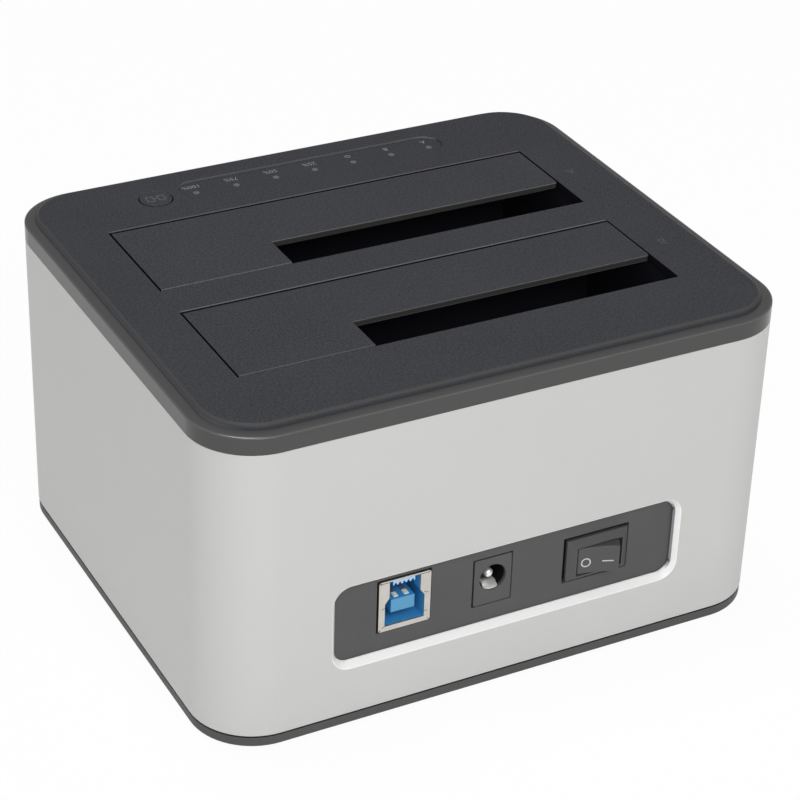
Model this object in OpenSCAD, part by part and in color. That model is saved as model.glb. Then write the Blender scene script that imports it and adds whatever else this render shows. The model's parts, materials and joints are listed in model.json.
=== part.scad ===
// Two-bay drive dock: a silver sleeve between a dark base and a dark top cover, two top-loading
// bays under sprung flaps, and a recessed panel of ports at the rear. Lengths are in millimetres.
// The ports face +Y, the indicator row lies towards -Y, Z is up and the feet stand on Z = 0.

/* [Case] */
// Radius of the case's upright corners
corner_r = 14.5; // [13:0.5:16]
// Height of the silver sleeve
sleeve_h = 68.8; // [64:0.2:78]
// Wall of the sleeve
sleeve_wall = 2; // [1.6:0.1:2.4]
// Height of the base's edge below the sleeve
base_edge_h = 2.8; // [2.2:0.1:3.5]
// How far the base's edge stands back from the sleeve
base_setback = 0.1; // [0.1:0.1:0.6]
// Height of the shadow line between base and sleeve
shadow_h = 0.4; // [0.2:0.1:0.6]
// Depth of the shadow line
shadow_d = 0.8; // [0.4:0.1:1.2]
// Height of the base's rim inside the sleeve
base_rim_h = 5.5; // [4:0.5:8]
// Wall of the base's rim and of the cover's skirt
rim_t = 1.6; // [1.2:0.1:2]
// How far the feet stand below the base
foot_proud = 0.7; // [0.6:0.1:2]
// Depth of a foot's recess in the base
foot_seat = 1; // [0.6:0.1:1.4]
// Radius of a foot
foot_r = 5; // [4:0.5:6]

/* [Top cover] */
// Height of the cover's upright band
band_h = 3.7; // [3.2:0.1:5]
// Rise of the crowned shoulder above the band
shoulder_h = 0.5; // [0.3:0.1:1]
// Width of the shoulder seen from above
shoulder_w = 2.4; // [2:0.1:3]
// Radius of the rounded step from the shoulder up to the flat top
step_h = 1.3; // [0.9:0.1:1.5]
// Thickness of the flat top
cover_t = 2.2; // [1.9:0.1:2.6]
// How far the cover's skirt reaches into the sleeve
skirt_h = 5; // [3:0.5:7]

/* [Bays] */
// Length of a bay's mouth
bay_l = 104.5; // [103:0.5:110]
// Width of a bay's mouth
bay_w = 29.7; // [28:0.1:32]
// Cover between a bay's left end and the side of the case
left_margin = 14.5; // [13:0.5:18]
// Cover between a bay's right end and the side of the case
right_margin = 17; // [15:0.5:20]
// Cover between the front bay and the front of the case
front_margin = 25.7; // [25:0.1:32]
// Cover between the rear bay and the rear of the case
rear_margin = 21.3; // [20:0.1:26]
// Length of the small-drive slot that a flap leaves open
slot_l = 73.3; // [71:0.1:76]
// Width of the small-drive slot
slot_w = 11.2; // [10:0.1:12.5]
// Wall of a drive well
well_t = 1.3; // [1.1:0.1:1.6]
// Gap between the two wells
well_gap = 0.55; // [0.4:0.05:1]
// Floor of a drive well
well_floor_t = 1.5; // [1.2:0.1:2]
// Room between the main board and a well's floor
floor_gap = 3; // [2.4:0.1:4]

/* [Flaps] */
// Thickness of a flap
flap_t = 1.4; // [1.3:0.1:1.9]
// Gap between a flap and its mouth
flap_gap = 0.4; // [0.3:0.05:0.6]
// Gap at the free edge, which swings out a little as it drops
tip_gap = 0.6; // [0.6:0.05:0.9]
// Height of the stiffening ribs under a flap
flap_rib_h = 1.4; // [0.8:0.1:1.8]
// Radius of a hinge pin
pin_r = 0.9; // [0.8:0.05:1]
// Wall of a hinge knuckle round its pin
knuckle_wall = 0.9; // [0.8:0.05:1.1]
// Width of a hinge arm
arm_w = 7; // [5:0.5:9]
// Distance between the middles of the two hinge arms
arm_span = 80; // [70:1:88]
// Turns of a torsion spring
spring_turns = 7; // [5:1:9]
// Wire of a torsion spring
wire_d = 0.5; // [0.4:0.05:0.5]
// Lead of a torsion spring in one turn
spring_pitch = 1; // [0.95:0.05:1.2]

/* [Indicator row] */
// Number of indicators
led_count = 7; // [5:1:7]
// Distance from one indicator to the next
led_pitch = 10; // [9:0.1:10.4]
// Middle of the indicator row across the case
row_x = -2.6; // [-4:0.1:0]
// Distance from the front bay to the indicator row
row_back = 11.35; // [10.5:0.05:12]
// Radius of an indicator dot
led_r = 0.75; // [0.6:0.05:1]
// Width of the sunk strip round the indicators
strip_w = 8.9; // [7:0.1:9.4]
// Depth of the sunk strip
strip_depth = 0.4; // [0.2:0.05:0.7]
// Radius of the round button
button_r = 3.7; // [3.2:0.1:4]
// Gap round the button
button_gap = 0.3; // [0.25:0.05:0.4]
// Travel of the button
button_travel = 0.5; // [0.3:0.05:0.6]

/* [Rear panel] */
// Width of the port opening at the panel
panel_w = 82.2; // [78:0.1:88]
// Height of the port opening at the panel
panel_h = 18.7; // [18:0.1:21]
// Corner radius of the port opening
panel_r = 3.2; // [2:0.1:5]
// Middle of the port opening across the case
panel_x = -0.3; // [-2:0.1:2]
// Middle of the port opening above the main board
panel_rise = 5.15; // [4.5:0.05:6]
// Bevel round the port opening
panel_bevel = 1.1; // [0.6:0.1:1.6]
// Straight wall left behind that bevel
panel_land = 0.4; // [0.2:0.1:0.8]
// Thickness of the rear panel
panel_t = 2; // [1.6:0.1:2.4]
// Gap between a port and the lower and right edges of its hole
port_gap = 0.2; // [0.15:0.05:0.5]
// Gap between a port and the upper and left edges of its hole
port_slack = 0.4; // [0.3:0.05:0.6]
// Gap between the switch and the upper and left edges of its hole
switch_slack = 0.85; // [0.5:0.05:1]

/* [Ports] */
// Middle of the data port across the case
usb_x = 24.3; // [22:0.05:27]
// Width of the data port's shell
usb_w = 12.2; // [11.8:0.1:12.6]
// Height of the data port's shell
usb_h = 12.6; // [12.4:0.1:13]
// Middle of the power jack across the case
jack_x = 3.15; // [1:0.05:6]
// Width of the power jack
jack_w = 9; // [8.8:0.1:10]
// Height of the power jack
jack_h = 11.6; // [11:0.1:12.4]
// Depth of the power jack
jack_d = 14; // [12:0.1:15]
// Radius of the power jack's bore
jack_bore_r = 3.2; // [3:0.05:3.3]
// Height of the bore's middle above the main board
jack_bore_z = 6.5; // [6.2:0.05:7]
// Radius of the power jack's pin
jack_pin_r = 1.05; // [0.8:0.05:1.25]
// Middle of the power switch across the case
switch_x = -22.65; // [-26:0.05:-18]
// Height of the switch's middle above the main board
switch_rise = 5.05; // [4.8:0.05:6]
// Width of the switch's bezel
bezel_w = 15.2; // [15:0.1:16]
// Height of the switch's bezel
bezel_h = 10.4; // [10.2:0.1:11]
// How far the bezel stands out of the panel
bezel_proud = 1.3; // [1:0.1:1.8]
// Width of the rocker's hole
rocker_hole_w = 11.3; // [11:0.1:12]
// Height of the rocker's hole
rocker_hole_h = 7.2; // [6.6:0.1:7.4]
// Angle that the rocker leans from its middle position
rocker_tilt = 16; // [12:0.5:17]

/* [Inside] */
// Height of the main board above the base
board_rise = 15.2; // [12:0.1:18]
// Thickness of the circuit boards
board_t = 1.6; // [1.2:0.1:2]
// Length of a drive socket
socket_l = 43; // [41:0.5:45]
// Width of a drive socket
socket_w = 6.4; // [6:0.1:7]
// Height of a drive socket above the bay floor
socket_proud = 5.2; // [4:0.1:6]
// Distance from the corner screws to the sides of the case
screw_inset = 9; // [8.6:0.1:9.6]

/* [Hidden] */
$fn = 48;

// Small clearances and overlaps that many pieces share
fit = 0.15;
snug = 0.05;
touch = 0.3;
over = 1;
sink = 0.4;

// Colours
dark = "#3a3c40";
panel_grey = "#47484a";
silver = "#cfcecb";
steel = "#b9babd";
gold = "#d9b45a";
green = "#1f5a3a";
black = "#1c1c1e";

// Heights from the floor up
z_base = foot_proud;
z_floor = z_base + base_edge_h;
z_sleeve = z_floor + sleeve_h;
z_band = z_sleeve + band_h;
z_shoulder = z_band + shoulder_h;
z_top = z_shoulder + step_h;
z_under = z_top - cover_t;
z_board = z_floor + board_rise + board_t;
z_well = z_board + floor_gap;
z_bay = z_well + well_floor_t;

// Flap hinge: the pivot hangs under the cover, just far enough back to park the open flap
knuckle_r = pin_r + knuckle_wall;
hinge_drop = cover_t + touch + knuckle_r;
park_gap = 0.15;
flap_corner = 0.8;
hinge_back = hinge_drop + park_gap;
swing_gap = 0.4;
well_ease = 0.3;
pivot_z = z_top - hinge_drop;
flap_reach = bay_w - tip_gap + hinge_back;

// Plan of the case
bay_land = hinge_back + knuckle_r + swing_gap + 2 * well_t + well_ease + well_gap;
body_w = left_margin + bay_l + right_margin;
body_d = front_margin + 2 * bay_w + bay_land + rear_margin;
core_w = body_w - 2 * corner_r;
core_d = body_d - 2 * corner_r;
inner_inset = sleeve_wall + fit;

// Bays: the right end is the -X end, and each bay hinges along its -Y edge
bay_x0 = right_margin - body_w / 2;
bay_x1 = bay_x0 + bay_l;
bay_mid_x = (bay_x0 + bay_x1) / 2;
slot_x = bay_x0 + slot_l;
front_y = front_margin - body_d / 2;
rear_y = front_y + bay_w + bay_land;

// Drive wells, measured from the hinge edge of a bay
well_x0 = bay_x0 - well_ease;
well_x1 = bay_x1 + well_ease;
well_back = hinge_back + knuckle_r + swing_gap;
well_front = bay_w + well_ease;
guide_rib_t = 1.6;
guide_rib_clear = 3;
guide_rib_top = pivot_z - flap_reach - guide_rib_clear;
ear_l = 8;
ear_w = 9;
ear_t = 2.2;
ear_drop = 10;
ear_r = 2.8;

// Spring, drawn from its fixed leg through the turns to the leg under the flap
coil_ease = 0.4;
spring_r = pin_r + coil_ease + wire_d / 2;
leg_down = 7;
leg_out = 13;
turn_steps = 8;
wire_sides = 6;
wind = spring_turns * 360 + 90;
wind_steps = spring_turns * turn_steps + turn_steps / 4;
spring_x = bay_mid_x - spring_pitch * spring_turns / 2;
leg_x = spring_x + spring_pitch * wind / 360;

// Main board's clearances and what stands on it
board_side_gap = 5;
board_front_gap = 2.5;
board_rear_gap = 0.4;
board_post_gap = 1;
chip = 10;
chip_h = 1.2;
can_r = 3;
can_h = 7;
can_gap = 4;
coil = 5;
coil_h = 3;
coil_corner = 1;

// Drive sockets
sata_shift = 7;
sata_inset = 5.2;
sata_x = bay_x0 + slot_l / 2 - sata_shift;
sata_back = bay_w - sata_inset;
sata_pitch = 1.27;
sata_break = 6.35;
signal_count = 7;
power_count = 15;
signal_l = sata_pitch * (signal_count - 1);
power_l = sata_pitch * (power_count - 1);
signal_x = -(signal_l + sata_break + power_l) / 2;
power_x = signal_x + signal_l + sata_break;
blade_slot_w = 1.6;
blade_slot_d = 5.6;
blade_margin = 1.25;
contact_recess = 0.8;
key_l = 1.2;
key_w = 2.4;
horn_l = 2.6;
horn_h = 2;
z_socket = z_bay + socket_proud;

// Rear panel and ports
panel_y = body_d / 2 - sleeve_wall;
panel_z = z_board + panel_rise;
panel_border = 5.5;
panel_back = panel_y - panel_t;
well_rear = rear_y + well_front + well_t;
usb_proud = 0.1;
usb_room = 1.2;
usb_front = panel_y + usb_proud;
usb_d = usb_front - well_rear - usb_room;
usb_z = z_board + touch + usb_h / 2;
usb_sheet = 0.35;
usb_mouth_w = 9.3;
usb_neck_w = 7.3;
usb_neck_z = 7;
usb_chamfer_h = 1.4;
usb_sill = 1.2;
usb_mouth_h = usb_h - usb_sill - usb_sheet;
usb_ceiling = 0.3;
usb_mouth_z = usb_sill - usb_h / 2;
usb_cavity = 10;
tongue_w = 5.6;
tongue_h = 3.2;
tongue_rise = 2.5;
tongue_z = usb_mouth_z + tongue_rise;
tongue_recess = 0.9;
super_w = 5.2;
super_h = 1.2;
super_recess = 0.5;
super_pitch = 1;
super_z = usb_mouth_z + usb_mouth_h - usb_ceiling - super_h;
jack_front = panel_y - snug;
jack_z = z_board + jack_bore_z;
jack_bore_d = 11;
pin_recess = 1.1;
leaf_w = 3.4;
leaf_t = 0.3;
leaf_slot_d = 0.9;
leaf_recess = 0.45;
hump_rise = 1;
hump_near = 1.6;
hump_far = 3;
hump_foot = 5.5;
switch_z = z_board + switch_rise;
rim_y = panel_y + bezel_proud;
bezel_back = 0.8;
rocker_gap = 0.3;
rocker_h = rocker_hole_h - 2 * rocker_gap;
rocker_rise = 3.2;
rocker_sag = 0.45;
rocker_sunk = 0.2;
trunnion_r = 0.8;
trunnion_grip = 0.35;
trunnion_l = rocker_gap + trunnion_grip;
// Half of the rocker's face, and its pivot's place, so that the pressed end lies just under the rim
rocker_half = (rocker_hole_w / 2 - rocker_gap - rocker_rise * sin(rocker_tilt)) / cos(rocker_tilt);
rocker_y = rim_y - rocker_sunk - rocker_rise * cos(rocker_tilt) + rocker_half * sin(rocker_tilt);
switch_wall = 0.8;
switch_d = 9;
bezel_rim = 0.25;
pocket_d = 4;
keel = 2.4;
foot_gap = 0.45;
rocker_foot = rocker_hole_w / 2 - foot_gap;

// Indicator row
row_y = front_y - row_back;
led_x0 = row_x + led_pitch * (led_count - 1) / 2;
strip_end = 3.7;
strip_shift = 1.15;
button_x = led_x0 + led_pitch;
button_proud = 0.15;
button_flange = 0.8;
flange_lip = 0.5;
flange_r = button_r + button_gap + flange_lip;
button_step = 0.2;
lamp_board_y1 = front_y - well_back - well_t - touch;
lamp_board_d = 11;
lamp_board_mid = lamp_board_y1 - lamp_board_d / 2;
lamp_drop = 6.1;
z_lamp_board = z_under - lamp_drop;
tact_w = 4.5;
tact_h = 3;
z_tact = z_lamp_board + tact_h;
plunger_r = 1.2;
plunger_h = 1;
lamp_boss_r = 2.3;
lamp_boss_away = flange_r + lamp_boss_r + 4 * snug;
lamp_boss_x = [led_x0 - led_pitch * (led_count - 1) - lamp_boss_away, button_x + lamp_boss_away];
lamp_board_end = 3;
lamp_board_x0 = lamp_boss_x[0] - lamp_board_end;
lamp_board_x1 = lamp_boss_x[1] + lamp_board_end;
guide_bar_t = 1.2;
led_h = 0.6;
ribbon_shift = 20;
ribbon_x = row_x - ribbon_shift;
ribbon_w = 8;
ribbon_t = 0.3;
connector_h = 2.4;
ribbon_grip = 1.2;

// Screws: radius of the thread, radius and height of the head, length under the head
case_screw = [1.25, 2.8, 2.1, 24];
well_screw = [0.95, 2, 1.5, 8];
board_screw = [1.1, 2.3, 1.5, 8];
lamp_screw = [0.95, 2, 1.4, 6];
case_post_r = 4.2;
cover_post_r = 3.6;
board_post_r = 3;
split_rise = 1.2;
head_land = 1.8;
z_split = z_board + split_rise;
case_head_z = z_floor + head_land;
post_x = body_w / 2 - screw_inset;
post_y = body_d / 2 - screw_inset;
screw_ease = 0.4;
board_post_inset_x = 20;
board_post_inset_y = 16;
board_post_x = body_w / 2 - board_post_inset_x;
board_post_y = body_d / 2 - board_post_inset_y;
foot_inset_x = 21;
foot_inset_y = 19;
foot_edge = 0.4;
foot_x = body_w / 2 - foot_inset_x;
foot_y = body_d / 2 - foot_inset_y;
well_ear_x = [well_x0 - well_t - ear_l / 2, well_x1 + well_t + ear_l / 2];
strip_mid_y = (well_rear + panel_back) / 2;

// Shapes that several pieces use

// Rectangle with round corners, centred on the origin
module round_rect(w, d, r) {
    square([w - 2 * r, d], center = true);
    square([w, d - 2 * r], center = true);
    for (sx = [-1, 1], sy = [-1, 1])
        translate([sx * (w / 2 - r), sy * (d / 2 - r)]) circle(r);
}

// Upright block with the outline of the case, drawn in by a margin
module case_block(inset, z0, z1) {
    translate([0, 0, z0]) linear_extrude(z1 - z0)
        round_rect(body_w - 2 * inset, body_d - 2 * inset, corner_r - inset);
}

// Wall that follows the case, from one margin in to another
module case_ring(inset, t, z0, z1) {
    difference() {
        case_block(inset, z0, z1);
        case_block(inset + t, z0 - over, z1 + over);
    }
}

// Both sides of a profile of [radius, height] points, set out from a half width
function slab(profile, half) = concat(
    [for (p = profile) [half + p[0], p[1]]],
    [for (i = [len(profile) - 1 : -1 : 0]) [-half - profile[i][0], profile[i][1]]]);

// Block with round corners whose edge follows a profile of [radius, height] points
module profiled_block(w, d, profile) {
    low = profile[0][1];
    high = profile[len(profile) - 1][1];
    for (sx = [-1, 1], sy = [-1, 1])
        translate([sx * w / 2, sy * d / 2, 0])
            rotate_extrude() polygon(concat([[0, low]], profile, [[0, high]]));
    rotate([90, 0, 0]) linear_extrude(d, center = true) polygon(slab(profile, w / 2));
    rotate([90, 0, 90]) linear_extrude(w, center = true) polygon(slab(profile, d / 2));
}

// Box between two corners
module span(low, high) {
    translate(low) cube(high - low);
}

// Post standing on a point
module post(x, y, z0, z1, r) {
    translate([x, y, z0]) cylinder(h = z1 - z0, r = r);
}

// Outline facing the rear, pushed in from its front face
module from_rear(x, z, front, depth) {
    translate([x, front, z]) rotate([90, 0, 0]) linear_extrude(depth) children();
}

// Outline in the plane of Y and Z, drawn out along X about a middle
module across(x, w) {
    translate([x - w / 2, 0, 0]) rotate([90, 0, 90]) linear_extrude(w) children();
}

// Low pyramid with its top cut off, rising along Y
module raised_frame(w0, h0, w1, h1, rise) {
    intersection() {
        linear_extrude(h0, center = true)
            polygon([[-w0 / 2, 0], [w0 / 2, 0], [w1 / 2, rise], [-w1 / 2, rise]]);
        rotate([0, -90, 0]) linear_extrude(w0, center = true)
            polygon([[-h0 / 2, 0], [h0 / 2, 0], [h1 / 2, rise], [-h1 / 2, rise]]);
    }
}

// Screw with its head at the lower end, pointing up from the underside of its thread
module screw_up(x, y, z, size) {
    recess_l = size[1] * 1.2;
    recess_w = size[2] * 0.3;
    post(x, y, z, z + size[3], size[0] - snug);
    difference() {
        post(x, y, z - size[2], z, size[1]);
        for (turn = [0, 90])
            translate([x, y, z - size[2]]) rotate([0, 0, turn])
                cube([recess_l, recess_w, size[2]], center = true);
    }
}

// Tube of a given radius along a list of points that mostly lie across X
module tube(points, r, sides) {
    n = len(points);
    rings = [for (i = [0 : n - 1])
        let (t = heading(points, i), u = unit([1, 0, 0] - t[0] * t), v = cross(t, u))
        for (k = [0 : sides - 1]) points[i] + r * (cos(360 * k / sides) * u + sin(360 * k / sides) * v)];
    skin = [for (i = [0 : n - 2], k = [0 : sides - 1])
        let (a = i * sides + k, b = i * sides + (k + 1) % sides)
        each [[a, a + sides, b], [b, a + sides, b + sides]]];
    ends = [for (k = [1 : sides - 2]) each [
        [0, k, k + 1],
        [(n - 1) * sides, (n - 1) * sides + k + 1, (n - 1) * sides + k]]];
    polyhedron(points = rings, faces = concat(skin, ends));
}

function unit(v) = v / norm(v);
function heading(p, i) = unit(p[min(i + 1, len(p) - 1)] - p[max(i - 1, 0)]);

// Case

// Profile of the cover's edge: upright band, crowned shoulder, then a rounded step to the flat top
round_steps = 8;
cover_profile = concat(
    [[corner_r, z_sleeve]],
    [for (i = [0 : round_steps]) let (a = 90 * i / round_steps)
        [corner_r - shoulder_w * (1 - cos(a)), z_band + shoulder_h * sin(a)]],
    [for (i = [1 : round_steps]) let (a = 90 * i / round_steps)
        [corner_r - shoulder_w - step_h * (1 - cos(a)), z_shoulder + step_h * sin(a)]]);

base_chamfer = 0.3;
base_profile = [
    [corner_r - base_setback - base_chamfer, z_base],
    [corner_r - base_setback, z_base + base_chamfer],
    [corner_r - base_setback, z_floor - shadow_h],
    [corner_r - shadow_d, z_floor - shadow_h],
    [corner_r - shadow_d, z_floor]];

opening_profile = [
    [panel_r, -over], [panel_r, panel_land], [panel_r + panel_bevel, sleeve_wall],
    [panel_r + panel_bevel, sleeve_wall + over]];

module sleeve() {
    color(silver) difference() {
        case_ring(0, sleeve_wall, z_floor, z_sleeve);
        translate([panel_x, panel_y, panel_z]) rotate([-90, 0, 0])
            profiled_block(panel_w - 2 * panel_r, panel_h - 2 * panel_r, opening_profile);
    }
}

module corner_posts(z0, z1, r) {
    for (sx = [-1, 1], sy = [-1, 1]) post(sx * post_x, sy * post_y, z0, z1, r);
}

module indicator_strip(z0, z1) {
    straight = led_pitch * (led_count - 1) + 2 * strip_end - strip_w;
    translate([row_x, row_y - strip_shift, z0]) linear_extrude(z1 - z0) {
        square([straight, strip_w], center = true);
        for (s = [-1, 1]) translate([s * straight / 2, 0]) circle(strip_w / 2);
    }
}

module well_bosses(z0, r) {
    for (y = [front_y, rear_y], x = well_ear_x)
        post(x, y + bay_w / 2, z0, z_under + sink, r);
}

module lamp_bosses(z0, r) {
    for (x = lamp_boss_x) post(x, lamp_board_mid, z0, z_under + sink, r);
}

module top_cover() {
    z_ear = z_under - ear_drop;
    color(dark) difference() {
        union() {
            difference() {
                union() {
                    profiled_block(core_w, core_d, cover_profile);
                    case_block(inner_inset, z_sleeve - skirt_h, z_sleeve + sink);
                }
                case_block(inner_inset + rim_t, z_sleeve - skirt_h - over, z_under);
            }
            corner_posts(z_split, z_under + sink, cover_post_r);
            well_bosses(z_ear, ear_r);
            lamp_bosses(z_lamp_board, lamp_boss_r);
        }
        for (y = [front_y, rear_y])
            span([bay_x0, y, z_under - over], [bay_x1, y + bay_w, z_top + over]);
        indicator_strip(z_top - strip_depth, z_top + over);
        for (i = [0 : led_count - 1])
            post(led_x0 - i * led_pitch, row_y, z_under - over, z_top + over, led_r + snug);
        post(button_x, row_y, z_under - over, z_top + over, button_r + button_gap);
        corner_posts(z_split - over, case_head_z + case_screw[3] + over, case_screw[0]);
        for (y = [front_y, rear_y], x = well_ear_x)
            post(x, y + bay_w / 2, z_ear - over, z_ear - ear_t + well_screw[3] + sink, well_screw[0]);
        for (x = lamp_boss_x)
            post(x, lamp_board_mid, z_lamp_board - over,
                z_lamp_board - board_t + lamp_screw[3] + sink, lamp_screw[0]);
    }
}

module board_posts(z0, z1, r) {
    for (sx = [-1, 1], sy = [-1, 1]) post(sx * board_post_x, sy * board_post_y, z0, z1, r);
}

module base() {
    stop_l = 6;
    stop_h = 7;
    stop_x = panel_w / 2 - stop_l;
    color(dark) difference() {
        union() {
            profiled_block(core_w, core_d, base_profile);
            difference() {
                case_ring(inner_inset, rim_t, z_floor - sink, z_floor + base_rim_h);
                span([panel_x - panel_w / 2 - panel_border - touch, 0, z_floor],
                    [panel_x + panel_w / 2 + panel_border + touch, body_d, z_floor + base_rim_h + over]);
            }
            for (s = [-1, 1])
                span([panel_x + s * stop_x - stop_l / 2, panel_back - fit - rim_t, z_floor - sink],
                    [panel_x + s * stop_x + stop_l / 2, panel_back - fit, z_floor + stop_h]);
            corner_posts(z_floor - sink, z_split, case_post_r);
            board_posts(z_floor - sink, z_floor + board_rise, board_post_r);
        }
        corner_posts(z_base - over, z_split + over, case_screw[0] + screw_ease);
        corner_posts(z_base - over, case_head_z, case_screw[1] + touch);
        board_posts(z_board - board_screw[3] - sink, z_board + over, board_screw[0]);
        for (sx = [-1, 1], sy = [-1, 1])
            post(sx * foot_x, sy * foot_y, z_base - over, z_base + foot_seat, foot_r + fit);
    }
}

module feet() {
    color(black) for (sx = [-1, 1], sy = [-1, 1]) translate([sx * foot_x, sy * foot_y, 0]) {
        cylinder(h = foot_edge, r1 = foot_r - foot_edge, r2 = foot_r);
        translate([0, 0, foot_edge]) cylinder(h = foot_proud + foot_seat - foot_edge, r = foot_r);
    }
}

// Hole for a port, which sits towards the lower right corner of it
module port_hole(x, z, w, h, slack) {
    span([x - w / 2 - port_gap, panel_back - over, z - h / 2 - port_gap],
        [x + w / 2 + slack, panel_y + over, z + h / 2 + slack]);
}

module io_panel() {
    color(panel_grey) difference() {
        span([panel_x - panel_w / 2 - panel_border, panel_back, z_floor],
            [panel_x + panel_w / 2 + panel_border, panel_y, panel_z + panel_h / 2 + panel_border]);
        port_hole(usb_x, usb_z, usb_w, usb_h, port_slack);
        port_hole(jack_x, z_board + jack_h / 2, jack_w, jack_h, port_slack);
        port_hole(switch_x, switch_z, bezel_w, bezel_h, switch_slack);
    }
}

// Bays

module bay_well(y) {
    z_ear = z_under - ear_drop;
    color(black) difference() {
        union() {
            span([well_x0 - well_t, y - well_back - well_t, z_well],
                [well_x1 + well_t, y + well_front + well_t, z_under]);
            for (x = well_ear_x)
                span([x - ear_l / 2 - (x > 0 ? well_t / 2 : 0), y + bay_w / 2 - ear_w / 2, z_ear - ear_t],
                    [x + ear_l / 2 + (x > 0 ? 0 : well_t / 2), y + bay_w / 2 + ear_w / 2, z_ear]);
        }
        difference() {
            span([well_x0, y - well_back, z_bay], [well_x1, y + well_front, z_under + over]);
            for (s = [-3, -1, 1, 3])
                span([bay_mid_x + s * bay_l / 8 - guide_rib_t / 2, y - well_back - over, z_bay - over],
                    [bay_mid_x + s * bay_l / 8 + guide_rib_t / 2, y - well_ease, guide_rib_top]);
        }
        translate([well_x0 - well_t - over, y - hinge_back, pivot_z]) rotate([0, 90, 0])
            cylinder(h = bay_l + 2 * well_ease + 2 * well_t + 2 * over, r = pin_r + snug / 2);
        span([sata_x - socket_l / 2 - touch, y + sata_back - socket_w / 2 - touch, z_well - over],
            [sata_x + socket_l / 2 + touch, y + sata_back + socket_w / 2 + touch, z_bay + over]);
        for (x = well_ear_x)
            post(x, y + bay_w / 2, z_ear - ear_t - over, z_ear + over, well_screw[0] + fit);
    }
}

module front_bay_well() { bay_well(front_y); }
module rear_bay_well() { bay_well(rear_y); }

// L-shaped outline of a flap, drawn in by a margin
function flap_outline(y, m) = [
    [bay_x0 + flap_gap + m, y + flap_gap + m],
    [bay_x1 - flap_gap - m, y + flap_gap + m],
    [bay_x1 - flap_gap - m, y + bay_w - tip_gap - m],
    [slot_x + m, y + bay_w - tip_gap - m],
    [slot_x + m, y + bay_w - slot_w - m],
    [bay_x0 + flap_gap + m, y + bay_w - slot_w - m]];

// Plate of a flap, with its corner beside the slot's end rounded
module flap_plate(y) {
    difference() {
        polygon(flap_outline(y, 0));
        translate([bay_x0 + flap_gap, y + bay_w - slot_w - flap_corner]) difference() {
            translate([-over, 0]) square(flap_corner + over);
            translate([flap_corner, 0]) circle(flap_corner);
        }
    }
}

module flap(y) {
    rib_inset = 2.2;
    rib_t = 1.1;
    arm_in = 8;
    arm_step = 0.7;
    notch_w = 4;
    pad_w = 3;
    pad_in = 1;
    z_plate = z_top - flap_t;
    z_arm = z_under - touch - snug;
    z_arm_low = pivot_z - knuckle_r + arm_step;
    z_pad = pivot_z + spring_r + wire_d / 2 + touch;
    color(dark) difference() {
        union() {
            translate([0, 0, z_plate]) linear_extrude(flap_t) flap_plate(y);
            translate([0, 0, z_plate - flap_rib_h]) linear_extrude(flap_rib_h + sink) difference() {
                polygon(flap_outline(y, rib_inset));
                polygon(flap_outline(y, rib_inset + rib_t));
                translate([leg_x - notch_w / 2, y - over]) square([notch_w, arm_in]);
            }
            translate([leg_x - pad_w / 2, y + flap_gap + pad_in, z_pad])
                cube([pad_w, leg_out - hinge_back, z_plate + sink - z_pad]);
            for (s = [-1, 1]) {
                x = bay_mid_x + s * arm_span / 2;
                translate([x - arm_w / 2, y - hinge_back, pivot_z]) rotate([0, 90, 0])
                    cylinder(h = arm_w, r = knuckle_r);
                across(x, arm_w) polygon([
                    [y - hinge_back, z_arm_low],
                    [y + flap_gap, z_arm_low],
                    [y + flap_gap + arm_in, z_plate - flap_rib_h],
                    [y + flap_gap + arm_in, z_plate + sink],
                    [y + flap_gap, z_plate + sink],
                    [y + flap_gap, z_arm],
                    [y - hinge_back, z_arm]]);
            }
        }
        translate([bay_x0, y - hinge_back, pivot_z]) rotate([0, 90, 0])
            cylinder(h = bay_l, r = pin_r + snug);
    }
}

module front_flap() { flap(front_y); }
module rear_flap() { flap(rear_y); }

module hinge_pin(y) {
    color(steel) translate([well_x0 - well_t, y - hinge_back, pivot_z]) rotate([0, 90, 0])
        cylinder(h = bay_l + 2 * well_ease + 2 * well_t, r = pin_r);
}

module front_hinge_pin() { hinge_pin(front_y); }
module rear_hinge_pin() { hinge_pin(rear_y); }

// Centre line of a torsion spring about its pin, from the leg on the well to the leg under the flap
function spring_line(y) = concat(
    [[spring_x, y - hinge_back - spring_r, pivot_z - leg_down]],
    [for (i = [0 : wind_steps]) let (a = 180 - wind * i / wind_steps)
        [spring_x + spring_pitch * (180 - a) / 360,
            y - hinge_back + spring_r * cos(a), pivot_z + spring_r * sin(a)]],
    [[leg_x, y - hinge_back + leg_out, pivot_z + spring_r]]);

spring_points = spring_line(front_y);
spring_last = len(spring_points) - 2;
echo(spring_self_gap = min([for (i = [1 : spring_last], j = [i + turn_steps / 2 : 1 : spring_last])
    norm(spring_points[i] - spring_points[j]) - wire_d]));

module front_flap_spring() { color(steel) tube(spring_line(front_y), wire_d / 2, wire_sides); }
module rear_flap_spring() { color(steel) tube(spring_line(rear_y), wire_d / 2, wire_sides); }

// Boards and drive sockets

module main_board() {
    side = body_w / 2 - inner_inset - rim_t - board_side_gap;
    front = body_d / 2 - inner_inset - rim_t - board_front_gap;
    color(green) difference() {
        span([-side, -front, z_board - board_t], [side, panel_back - board_rear_gap, z_board]);
        corner_posts(z_board - board_t - over, z_board + over, case_post_r + board_post_gap);
        board_posts(z_board - board_t - over, z_board + over, board_screw[0] + fit);
    }
}

// Length of a socket's blade slot from its contact count
function blade_slot_l(count) = sata_pitch * (count - 1) + 2 * blade_margin;

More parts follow.
